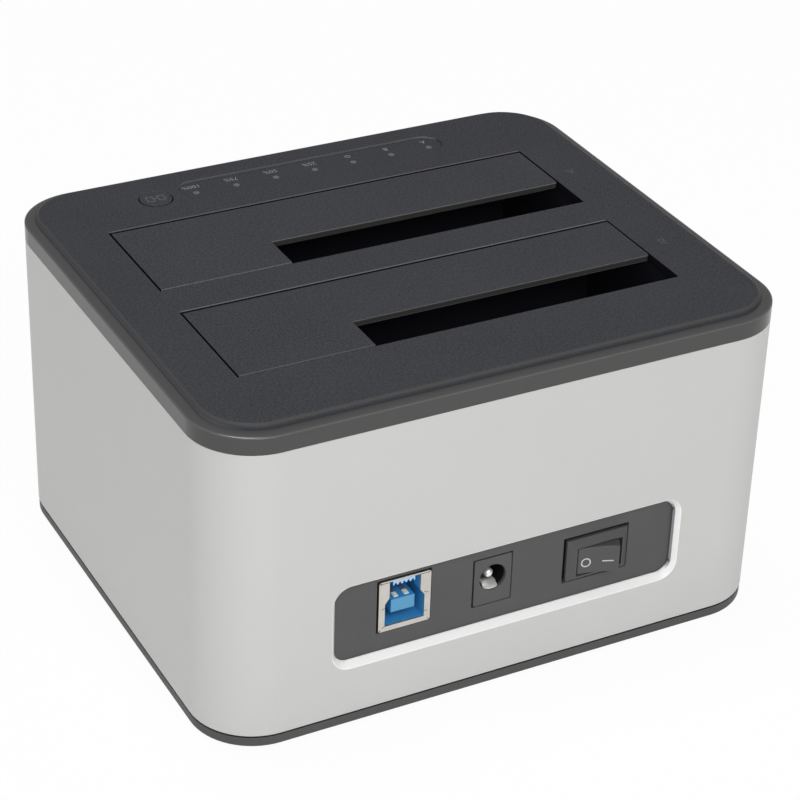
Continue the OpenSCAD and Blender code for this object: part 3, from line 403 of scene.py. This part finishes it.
def cover_material(name, color, edge_color):
    """The textured plastic, smoother on the shoulder and band round the outside and paler there as painted
    sheen, with painted highlights and shade along the step and the mouths.
    """
    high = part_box("top_cover")[1]
    flap_low, flap_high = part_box("front_flap")
    step_h = 1.3 * MM
    crown_h = 0.17 * MM
    rim_h = 0.12 * MM
    rim_fade = 0.05 * MM
    shoulder_fade = 0.1 * MM
    strip_w = 0.35 * MM
    border = 9 * MM
    flat_border = 4.2 * MM
    corner = 18 * MM
    shoulder_top = high.z - step_h

    def outside(nodes, links, place, normal):
        across = parts_of(nodes, links, place)
        away = [calc(nodes, links, "ABSOLUTE", across[axis], 0) for axis in (0, 1)]
        past = [calc(nodes, links, "GREATER_THAN", value, limit - border)
                for value, limit in zip(away, (high.x, high.y))]
        return calc(nodes, links, "MAXIMUM", *past)

    def inside(nodes, links, place, normal):
        across = parts_of(nodes, links, place)
        away = [calc(nodes, links, "ABSOLUTE", across[axis], 0) for axis in (0, 1)]
        away.append(calc(nodes, links, "ADD", *away))
        limits = (high.x - flat_border, high.y - flat_border, high.x + high.y - corner)
        within = [calc(nodes, links, "LESS_THAN", value, limit) for value, limit in zip(away, limits)]
        in_both = calc(nodes, links, "MULTIPLY", within[0], within[1])
        return calc(nodes, links, "MULTIPLY", in_both, within[2])

    step_highlight = both(outside, facing(2, 0.99, 0.93), facing(2, 0.55, 0.75))
    step_wall = both(outside, facing(2, 0.7, 0.4))
    mouth_highlight = both(inside, facing(1, 0.25, 0.5))
    mouth_shadow = both(inside, beyond(1, flap_low.y), below(high.z - rim_h, rim_fade), facing(2, 0.8, 0.6))
    along_bay = both(beyond(0, flap_low.x), beyond(0, flap_high.x, above=False), facing(2, 0.5, 0.7))
    shoulder = both(outside, below(shoulder_top, shoulder_fade))
    band = both(outside, below(shoulder_top - crown_h, crown_h))
    crest_highlight = both(band, facing(2, 0.1, 0.3), facing(2, 0.97, 0.9))

    mat = textured_material(name, color)
    # Painted highlight along the crest of the step round the top.
    over_mask(mat, step_highlight, shade(edge_color, 0.92), 0.45, 0.08, 0.2)
    # Painted light: the step's wall is paler to lift the shade in the trough at its foot, and palest where
    # it faces the ends.
    over_mask(mat, step_wall, shade(color, 1.35), grain=0.3)
    for end in (-1, 1):
        over_mask(mat, both(step_wall, facing(0, 0.5 * end, 0.8 * end)), shade(color, 2.5))
    # Painted highlight on the inner faces that turn towards the rear.
    over_mask(mat, mouth_highlight, shade(edge_color, 2.0), 0.35, 0.3)
    # Painted shadow: the mouths' walls black below their rims.
    over_mask(mat, mouth_shadow, (0.009, 0.009, 0.011), 0.7, 0.05)
    # Painted highlight: a pale strip along each mouth's edge beside the flap's hinge, paler by the rear bay.
    for side, gain in (("front", 1.45), ("rear", 1.75)):
        edge_y = mouth_edge(side)
        edge_highlight = both(along_bay, beyond(1, edge_y - strip_w), beyond(1, edge_y, above=False))
        over_mask(mat, edge_highlight, shade(edge_color, gain), 0.4, 0.2, 0.2)
    # Shoulder and band: smoother, and paler than the top as painted sheen.
    over_mask(mat, shoulder, shade(edge_color, 0.95), 0.24, 0.26, 0.05)
    over_mask(mat, band, edge_color)
    # Painted highlight along the crest over the band, with a real glossier finish.
    return over_mask(mat, crest_highlight, shade(edge_color, 1.5), 0.14, 0.45)


def base_material(name, color):
    """Moulded base, with painted shadow in the seam under the sleeve."""
    seam_h = 0.45 * MM
    mat = finish_material(name, color, 0.5, grain_mm=0.28, bump_mm=0.012, speckle=0.15, specular=0.3)
    # Painted shadow: a dark line along the top of the base, under the sleeve.
    return over_mask(mat, beyond(2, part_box("sleeve")[0].z - seam_h), (0.022, 0.021, 0.02), 0.6)


def port_blue_material(name):
    """Blue moulded insert, painted paler as light on the faces towards the mouth and palest on the upper
    shelf.
    """
    shelf_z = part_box("usb_contacts")[1].z
    shelf_t = 0.3 * MM
    mat = finish_material(name, (0.043, 0.262, 0.56), 0.38, grain_mm=0.3, bump_mm=0.004)
    to_rear = facing(1, 0.6, 0.8)
    # Painted light: the faces towards the mouth paler.
    over_mask(mat, to_rear, (0.085, 0.31, 0.53))
    # Painted light: the upper shelf's front palest.
    return over_mask(mat, both(to_rear, beyond(2, shelf_z - shelf_t)), (0.42, 0.62, 0.85))


def contact_material(name):
    """Pale plated contacts, their pale tips partly painted highlight and their rear part painted dark as
    shade.
    """
    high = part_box("usb_contacts")[1]
    tip_l = 1.5 * MM
    mat = finish_material(name, (0.98, 0.91, 0.74), 0.35, metallic=0.1, grain_mm=0.2, bump_mm=0.002)
    # Painted shade on the contacts' rear part, inside the port.
    return over_mask(mat, beyond(1, high.y - tip_l, above=False), (0.12, 0.16, 0.24), 0.5)


def jack_material(name, color):
    """Moulded power inlet, painted black as shade deep inside its bore."""
    pin_low, pin_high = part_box("dc_jack_pin")
    middle_x, middle_z = (pin_low.x + pin_high.x) / 2, (pin_low.z + pin_high.z) / 2
    bore_r, lip = 3.3 * MM, 0.5 * MM
    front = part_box("dc_jack_body")[1].y
    mat = finish_material(name, color, 0.5, grain_mm=0.2, bump_mm=0.006, specular=0.3)

    def bore(nodes, links, place, normal):
        across = parts_of(nodes, links, place)
        off_x = calc(nodes, links, "SUBTRACT", across[0], middle_x)
        off_z = calc(nodes, links, "SUBTRACT", across[2], middle_z)
        squares = [calc(nodes, links, "MULTIPLY", off, off) for off in (off_x, off_z)]
        away = calc(nodes, links, "SQRT", calc(nodes, links, "ADD", *squares), 0)
        within = calc(nodes, links, "LESS_THAN", away, bore_r)
        deep = value_range(nodes, links, across[1], 1, 0, front - 2 * lip, front - lip)
        return calc(nodes, links, "MULTIPLY", within, deep)

    # Painted shade: black deepening into the bore.
    return over_mask(mat, bore, (0.006, 0.006, 0.007), 0.7, 0.1)


def board_material(name):
    """Lacquered green board with a web of lighter tracks."""
    cell = 3.0 * MM
    track_edge, track_fade = 0.05, 0.09
    mat = finish_material(name, (0.02, 0.13, 0.06), 0.32, grain_mm=0.8, bump_mm=0.006)

    def tracks(nodes, links, place, normal):
        cells = nodes.new("ShaderNodeTexVoronoi")
        cells.feature = "DISTANCE_TO_EDGE"
        cells.distance = "MANHATTAN"
        cells.inputs["Scale"].default_value = 1 / cell
        links.new(place, cells.inputs["Vector"])
        return value_range(nodes, links, cells.outputs["Distance"], 1, 0, track_edge, track_fade)

    return over_mask(mat, tracks, (0.05, 0.24, 0.11))


def make_materials():
    """One material for each finish, by name."""
    dark = (0.0335, 0.0342, 0.0387)
    # The paler colour of the band and shoulder, which stands for painted sheen.
    edge = (0.069, 0.069, 0.068)
    return {
        "silver": silver_material("silver_paint"),
        "cover": cover_material("cover_plastic", dark, edge),
        "front_flap": flap_material("front_flap_plastic", shade(dark, 1.05), "front_flap"),
        "rear_flap": flap_material("rear_flap_plastic", shade(dark, 1.02), "rear_flap"),
        "button": textured_material("button_plastic", dark),
        "raised": textured_material("raised_mark", shade(dark, 1.7)),
        "base": base_material("base_plastic", (0.072, 0.072, 0.072)),
        "panel": finish_material("panel_plastic", (0.078, 0.078, 0.0785), 0.55, grain_mm=0.25,
                                 bump_mm=0.012, speckle=0.12, specular=0.3),
        "black": finish_material("black_plastic", (0.026, 0.026, 0.029), 0.5, grain_mm=0.3, bump_mm=0.01,
                                 speckle=0.2, specular=0.3),
        "well": finish_material("well_plastic", (0.0165, 0.0165, 0.023), 0.55, grain_mm=0.3, bump_mm=0.01,
                                speckle=0.2, specular=0.2),
        "switch": finish_material("switch_plastic", (0.072, 0.072, 0.074), 0.45, grain_mm=0.2,
                                  bump_mm=0.006, speckle=0.1, specular=0.35),
        "jack": jack_material("jack_plastic", (0.08, 0.08, 0.082)),
        "rubber": finish_material("foot_rubber", (0.02, 0.02, 0.021), 0.8, grain_mm=0.5, bump_mm=0.03),
        "steel": finish_material("plain_steel", (0.55, 0.555, 0.57), 0.32, metallic=1.0, grain_mm=0.2,
                                 bump_mm=0.002, stretch=(1, 6, 1)),
        "nickel": finish_material("nickel_plate", (0.60, 0.57, 0.53), 0.4, metallic=1.0, grain_mm=0.4,
                                  bump_mm=0.004, patch_mm=3, patch=0.08),
        "bright": finish_material("bright_plate", (0.92, 0.91, 0.89), 0.34, metallic=0.65, grain_mm=0.3,
                                  bump_mm=0.001),
        "gold": finish_material("contact_plate", (0.9, 0.76, 0.48), 0.28, metallic=1.0, grain_mm=0.2,
                                bump_mm=0.002),
        "contact": contact_material("cream_contact"),
        "can": finish_material("can_aluminium", (0.7, 0.71, 0.72), 0.35, metallic=1.0, grain_mm=0.3),
        "board": board_material("circuit_board"),
        "blue": port_blue_material("port_blue"),
        "lens": finish_material("lens_plastic", (0.11, 0.114, 0.119), 0.35, grain_mm=0.25, bump_mm=0.004),
        "pale": finish_material("pale_plastic", (0.42, 0.43, 0.44), 0.4, grain_mm=0.25, bump_mm=0.004),
        "print": finish_material("printed_mark", (0.22, 0.225, 0.23), 0.55, grain_mm=0.1, bump_mm=0.002),
        "faint_print": finish_material("faint_mark", (0.11, 0.112, 0.118), 0.55, grain_mm=0.1,
                                       bump_mm=0.002),
        "white_print": finish_material("white_mark", (0.56, 0.56, 0.56), 0.5, grain_mm=0.1, bump_mm=0.002),
        "seam": finish_material("seam_shadow", (0.02, 0.019, 0.018), 0.7, grain_mm=0.1, bump_mm=0.002),
    }


# The nodes that have each finish
NODE_FINISH = {
    "silver": ["sleeve"],
    "cover": ["top_cover"],
    "front_flap": ["front_flap"],
    "rear_flap": ["rear_flap"],
    "button": ["clone_button"],
    "base": ["base"],
    "panel": ["io_panel"],
    "well": ["front_bay_well", "rear_bay_well"],
    "black": ["front_sata_socket", "rear_sata_socket", "controller_chips", "power_inductors",
              "tact_switch_body"],
    "switch": ["power_switch_body", "power_rocker"],
    "jack": ["dc_jack_body"],
    "rubber": ["feet"],
    "steel": ["front_hinge_pin", "rear_hinge_pin", "front_flap_spring", "rear_flap_spring",
              "switch_terminals", "tact_switch_plunger", "case_screws", "well_screws", "board_screws",
              "indicator_screws"],
    "nickel": ["usb_shell"],
    "bright": ["dc_jack_pin", "dc_jack_spring"],
    "gold": ["front_sata_contacts", "rear_sata_contacts"],
    "contact": ["usb_contacts"],
    "can": ["filter_capacitors"],
    "board": ["main_board", "indicator_board"],
    "blue": ["usb_insert"],
    "lens": ["light_guide"],
    "pale": ["indicator_leds", "indicator_ribbon", "ribbon_connectors"],
}


def dress_nodes(finishes):
    """Gives each node its material."""
    for finish, names in NODE_FINISH.items():
        for name in names:
            data = NODES[name].data
            data.materials.clear()
            data.materials.append(finishes[finish])


# Broken edges of the moulded and pressed pieces

# Radius of the broken edges, in millimetres, and the nodes that have them
EDGE_RADIUS = {
    0.3: ["top_cover", "front_flap", "rear_flap", "clone_button"],
    0.2: ["base", "feet", "power_switch_body", "power_rocker", "front_bay_well", "rear_bay_well"],
    0.15: ["sleeve", "io_panel", "dc_jack_body", "front_sata_socket", "rear_sata_socket"],
    0.08: ["usb_insert", "dc_jack_spring", "switch_terminals", "case_screws", "well_screws", "board_screws",
           "indicator_screws", "ribbon_connectors", "light_guide", "controller_chips", "tact_switch_body"],
    0.05: ["usb_shell"],
}
# The least angle of an edge that is broken, the angle under which faces count as one, and the gap to close
EDGE_ANGLE = math.radians(35)
FLAT_ANGLE = math.radians(0.3)
WELD_GAP = 1e-6


def weld_group():
    """Geometry nodes that join the split corners of a mesh and shade it smooth."""
    group = bpy.data.node_groups.new("weld_and_smooth", "GeometryNodeTree")
    group.interface.new_socket("Geometry", in_out="INPUT", socket_type="NodeSocketGeometry")
    group.interface.new_socket("Geometry", in_out="OUTPUT", socket_type="NodeSocketGeometry")
    start = group.nodes.new("NodeGroupInput")
    merge = group.nodes.new("GeometryNodeMergeByDistance")
    merge.inputs["Distance"].default_value = WELD_GAP
    forget = group.nodes.new("GeometryNodeRemoveAttribute")
    forget.inputs["Name"].default_value = "custom_normal"
    smooth = group.nodes.new("GeometryNodeSetShadeSmooth")
    end = group.nodes.new("NodeGroupOutput")
    group.links.new(start.outputs[0], merge.inputs["Geometry"])
    group.links.new(merge.outputs[0], forget.inputs["Geometry"])
    group.links.new(forget.outputs[0], smooth.inputs["Geometry"])
    group.links.new(smooth.outputs[0], end.inputs[0])
    return group


def break_edges():
    """Rounds the sharp edges of the nodes by modifiers, so that they catch the light."""
    group = weld_group()
    for radius, names in EDGE_RADIUS.items():
        for name in names:
            obj = NODES[name]
            obj.modifiers.new("weld", "NODES").node_group = group
            flat = obj.modifiers.new("flat_faces", "DECIMATE")
            flat.decimate_type = "DISSOLVE"
            flat.angle_limit = FLAT_ANGLE
            edge = obj.modifiers.new("edges", "BEVEL")
            edge.width = radius * MM
            edge.segments = 2
            edge.limit_method = "ANGLE"
            edge.angle_limit = EDGE_ANGLE
            weigh = obj.modifiers.new("shading", "WEIGHTED_NORMAL")
            weigh.keep_sharp = True


# Marks and small pieces

def add_piece(name, mesh, material, body=None):
    """A mesh as a piece of the object, riding a body if one is given."""
    mesh.materials.append(material)
    obj = bpy.data.objects.new(name, mesh)
    bpy.context.scene.collection.objects.link(obj)
    if body:
        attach(obj, body)
    return obj


def ribbon(bm, points, width, depth, place, closed=False):
    """A flat line of some width along points in a plane; place puts (u, v, height) into space."""
    least_mitre = 0.35
    count = len(points)
    rings = []
    for i, point in enumerate(points):
        before = points[i - 1] if closed or i > 0 else point
        after = points[(i + 1) % count] if closed or i < count - 1 else point
        into = (Vector(point) - Vector(before)).normalized() if before != point else None
        out = (Vector(after) - Vector(point)).normalized() if after != point else None
        into, out = into or out, out or into
        along = (into + out).normalized()
        side = Vector((-along.y, along.x)) * (width / 2 / max(least_mitre, along.dot(out)))
        left, right = Vector(point) + side, Vector(point) - side
        rings.append([bm.verts.new(place(p.x, p.y, h))
                      for p, h in ((left, 0), (right, 0), (right, depth), (left, depth))])
    for i in range(count if closed else count - 1):
        first, second = rings[i], rings[(i + 1) % count]
        for k in range(4):
            bm.faces.new((first[k], second[k], second[(k + 1) % 4], first[(k + 1) % 4]))
    if not closed:
        bm.faces.new(rings[0])
        bm.faces.new(rings[-1][::-1])


def mesh_from(name, bm):
    """A mesh of what was drawn, with its faces turned outwards."""
    bmesh.ops.recalc_face_normals(bm, faces=bm.faces)
    mesh = bpy.data.meshes.new(name)
    bm.to_mesh(mesh)
    bm.free()
    return mesh


def arc(radius, start, stop, steps, middle=(0, 0)):
    """Points on an arc, angles in degrees; a full turn leaves out its last point."""
    last = steps if abs(stop - start) >= 360 else steps - 1
    angles = [math.radians(start + (stop - start) * i / last) for i in range(steps)]
    return [(middle[0] + radius * math.cos(angle), middle[1] + radius * math.sin(angle)) for angle in angles]


def on_top(x, y, z):
    """Puts (u, v, height) in millimetres on a level face, reading from the front."""
    return lambda u, v, h: Vector((x + u * MM, y + v * MM, z + h * MM))


# The share of a letter's size that a capital fills, and the thickness of a printed mark in millimetres
CAP_SHARE = 0.73
PRINT_DEPTH = 0.02


def text_mesh(name, words, cap_mm, x, y, z, depth_mm=PRINT_DEPTH):
    """Plain lettering on a level face, reading from the front."""
    curve = bpy.data.curves.new(name, "FONT")
    curve.body = words
    curve.size = cap_mm / CAP_SHARE * MM
    curve.align_x = "CENTER"
    curve.align_y = "CENTER"
    curve.extrude = depth_mm / 2 * MM
    curve.resolution_u = 3
    obj = bpy.data.objects.new(name + "_curve", curve)
    bpy.context.scene.collection.objects.link(obj)
    obj.location = (x, y, z + depth_mm / 2 * MM)
    bpy.context.view_layer.update()
    mesh = bpy.data.meshes.new_from_object(obj.evaluated_get(bpy.context.evaluated_depsgraph_get()))
    mesh.transform(obj.matrix_world)
    bpy.data.objects.remove(obj)
    bpy.data.curves.remove(curve)
    return mesh


# The indicator row: the step from dot to dot, how far off the labels lie, and their height in millimetres
DOT_STEP = 10 * MM
LABEL_AWAY = 3.2 * MM
LABEL_CAP = 1.5


def indicator_places():
    """Middle of each indicator dot, from the end by the button."""
    low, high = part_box("light_guide")
    y = (low.y + high.y) / 2
    bar_end = 1.2 * MM
    first = high.x - bar_end
    count = round((first - low.x - bar_end) / DOT_STEP) + 1
    return [(first - i * DOT_STEP, y) for i in range(count)], high.z


def power_sign(name, x, y, z):
    """The plain standby sign: a ring open at the top round a short bar, in millimetres and degrees."""
    radius, stroke = 0.58, 0.2
    ring_from, ring_to, ring_steps = 125, 415, 20
    bar_from, bar_to = 0.1, 0.8
    place = on_top(x, y, z)
    bm = bmesh.new()
    ribbon(bm, arc(radius, ring_from, ring_to, ring_steps), stroke, PRINT_DEPTH, place)
    ribbon(bm, [(0, bar_from), (0, bar_to)], stroke, PRINT_DEPTH, place)
    return mesh_from(name, bm)


def make_labels():
    """A printed number, letter or standby sign in front of each indicator dot."""
    places, z = indicator_places()
    words = ["100%", "75%", "50%", "25%", None, "B", "A"]
    for i, (word, (x, y)) in enumerate(zip(words, places)):
        name = f"indicator_label_{i + 1}"
        if word:
            mesh = text_mesh(name, word, LABEL_CAP, x, y - LABEL_AWAY, z)
        else:
            mesh = power_sign(name, x, y - LABEL_AWAY, z)
        add_piece(name, mesh, FINISH["print"], "housing")


# The letter beside each bay and the place of its middle, and the letters' height and relief, in millimetres
BAY_MARKS = (("A", -56.3, -18.1), ("B", -56.7, 21.2))
MARK_CAP = 2.6
MARK_DEPTH = 0.05


def make_bay_marks():
    """A faint raised letter beside each bay."""
    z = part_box("top_cover")[1].z
    for word, x, y in BAY_MARKS:
        name = f"bay_mark_{word.lower()}"
        mesh = text_mesh(name, word, MARK_CAP, x * MM, y * MM, z, MARK_DEPTH)
        add_piece(name, mesh, FINISH["raised"], "housing")


def make_button_sign():
    """Two drives and an arrow from one to the other, in thin lines on the button, in millimetres."""
    low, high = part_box("clone_button")
    plunger_low, plunger_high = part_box("tact_switch_plunger")
    place = on_top((low.x + high.x) / 2, (plunger_low.y + plunger_high.y) / 2, high.z)
    stroke, half_w, half_h, away = 0.2, 0.75, 1.15, 1.35
    shaft, tip, barb_back, barb_up = 0.35, 0.4, 0.05, 0.35
    bm = bmesh.new()
    for side in (-1, 1):
        box = [(side * away + half_w * sx, half_h * sy) for sx, sy in ((-1, -1), (1, -1), (1, 1), (-1, 1))]
        ribbon(bm, box, stroke, PRINT_DEPTH, place, closed=True)
    ribbon(bm, [(-shaft, 0), (shaft, 0)], stroke, PRINT_DEPTH, place)
    ribbon(bm, [(barb_back, barb_up), (tip, 0), (barb_back, -barb_up)], stroke, PRINT_DEPTH, place)
    mesh = mesh_from("button_sign", bm)
    add_piece("button_sign", mesh, FINISH["faint_print"], "button")


# The rocker's face, in millimetres from its pivot, hollowed between its two ends, and its lean at rest
ROCKER_RISE = 3.2
ROCKER_SAG = 0.45
ROCKER_HALF = 4.648
ROCKER_LEAN = math.radians(-16)


def on_rocker():
    """Puts (u, v, height) in millimetres on the rocker's hollow face; u runs to +X and v up."""
    lift = 0.01
    pivot = Vector(JOINTS["power_rocker_tilt"]["pos_m"])
    hollow = (ROCKER_HALF ** 2 + ROCKER_SAG ** 2) / (2 * ROCKER_SAG)
    turn = Matrix.Rotation(ROCKER_LEAN, 3, "Z")

    def place(u, v, h):
        face = ROCKER_RISE - ROCKER_SAG + hollow - math.sqrt(hollow ** 2 - u ** 2)
        return pivot + turn @ Vector((u, face + lift + h, v)) * MM

    return place


def make_rocker_signs():
    """A ring on one end of the rocker and a bar on the other, in millimetres."""
    ring_r, stroke, drop = 1.0, 0.28, 0.5
    ring_u, bar_u, bar_l = 2.75, -2.2, 2.5
    ring_steps, bar_steps = 32, 6
    ring = arc(ring_r, 0, 360, ring_steps, (ring_u, -drop))
    bar = [(bar_u + bar_l * (i / bar_steps - 0.5), -drop) for i in range(bar_steps + 1)]
    for name, points, closed in (("rocker_off_sign", ring, True), ("rocker_on_sign", bar, False)):
        bm = bmesh.new()
        ribbon(bm, points, stroke, PRINT_DEPTH, on_rocker(), closed)
        add_piece(name, mesh_from(name, bm), FINISH["white_print"], "rocker")


def make_usb_seams():
    """Lines of painted shadow in the folds and corner notches on the front of the data port's folded shell.
    """
    low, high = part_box("usb_shell")
    x, z, y = (low.x + high.x) / 2, (low.z + high.z) / 2, high.y
    half_w, half_h = (high.x - low.x) / 2 / MM, (high.z - low.z) / 2 / MM
    mouth, neck, sill, ledge = 4.65, 3.65, 1.2, 2.5
    inset, fold_down, notch_down = 0.5, 0.42, 0.35
    line, notch, depth = 0.12, 0.42, 0.012
    notch_run, notch_fall = 0.3, 0.1

    def place(u, v, h):
        return Vector((x - u * MM, y + h * MM, z + v * MM))

    # Points of each line, in millimetres to the right and up from the port's middle, seen from behind
    fold_v = half_h - fold_down
    lines = [
        [(-mouth, -0.35), (-mouth - 0.75, -0.6)],
        [(mouth - 0.1, 1.3), (mouth + 0.35, 0.95), (mouth + 0.95, 0.85)],
        [(mouth, -half_h + ledge), (mouth + 0.8, -half_h + ledge)],
        [(-mouth, -half_h + sill), (-mouth - 0.7, -half_h + sill - 0.25)],
        [(-half_w + inset, fold_v), (-neck, fold_v)],
        [(neck, fold_v), (half_w - inset, fold_v)],
    ]
    bm = bmesh.new()
    for points in lines:
        ribbon(bm, points, line, depth, place)
    for su, sv, reach in ((-1, 1, 0.75), (1, 1, 0.5), (-1, -1, 0.8), (1, -1, 0.5)):
        u, v = su * (half_w - inset), sv * (half_h - notch_down)
        end = (u + su * notch_run * reach, v - sv * notch_fall * reach)
        ribbon(bm, [(u, v), end], notch, depth, place)
    # The lines carry painted shadow.
    add_piece("usb_fold_lines", mesh_from("usb_fold_lines", bm), FINISH["seam"], "housing")


# The flaps' torsion springs, in millimetres from the hinge, as in the solids, and the wire's facets
SPRING_TURNS = 7.25
SPRING_PITCH = 1.0
SPRING_RADIUS = 1.55
SPRING_WIRE = 0.25
SPRING_START = -3.5
LEG_DOWN = 7
LEG_OUT = 13
TURN_STEPS = 24
WIRE_SIDES = 10


def spring_line(pivot):
    """Centre line from the leg on the well, through the turns, to the leg under the flap."""
    points = [Vector((SPRING_START, -SPRING_RADIUS, -LEG_DOWN))]
    steps = round(SPRING_TURNS * TURN_STEPS)
    for i in range(steps + 1):
        angle = math.pi - 2 * math.pi * i / TURN_STEPS
        along = SPRING_START + SPRING_PITCH * i / TURN_STEPS
        points.append(Vector((along, SPRING_RADIUS * math.cos(angle), SPRING_RADIUS * math.sin(angle))))
    points.append(Vector((SPRING_START + SPRING_PITCH * SPRING_TURNS, LEG_OUT, SPRING_RADIUS)))
    return [pivot + point * MM for point in points]


def sweep(bm, line, radius, sides):
    """A round wire along a line of points, closed flat at both ends."""
    turns = [2 * math.pi * k / sides for k in range(sides)]
    rings = []
    for i, point in enumerate(line):
        along = (line[min(i + 1, len(line) - 1)] - line[max(i - 1, 0)]).normalized()
        across = (Vector((1, 0, 0)) - along * along.x).normalized()
        third = along.cross(across)
        rings.append([bm.verts.new(point + radius * (math.cos(turn) * across + math.sin(turn) * third))
                      for turn in turns])
    for first, second in zip(rings, rings[1:]):
        for k in range(sides):
            bm.faces.new((first[k], first[(k + 1) % sides], second[(k + 1) % sides], second[k]))
    bm.faces.new(rings[0][::-1])
    bm.faces.new(rings[-1])


def make_springs():
    """A smooth wire in place of each torsion spring, from the housing to its flap, with the solid spring
    hidden.
    """
    for side in ("front", "rear"):
        name = f"{side}_spring_wire"
        line = spring_line(Vector(JOINTS[f"{side}_flap_hinge"]["pos_m"]))
        bm = bmesh.new()
        sweep(bm, line, SPRING_WIRE * MM, WIRE_SIDES)
        mesh = mesh_from(name, bm)
        for face in mesh.polygons:
            face.use_smooth = len(face.vertices) == 4
        obj = add_piece(name, mesh, FINISH["steel"])
        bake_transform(obj)
        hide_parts(f"{side}_flap_spring")


bpy.context.scene.view_settings.view_transform = "Standard"
make_camera()
make_floor()
make_world()
make_lights()
FINISH = make_materials()
dress_nodes(FINISH)
break_edges()
make_labels()
make_bay_marks()
make_button_sign()
make_rocker_signs()
make_usb_seams()
make_springs()
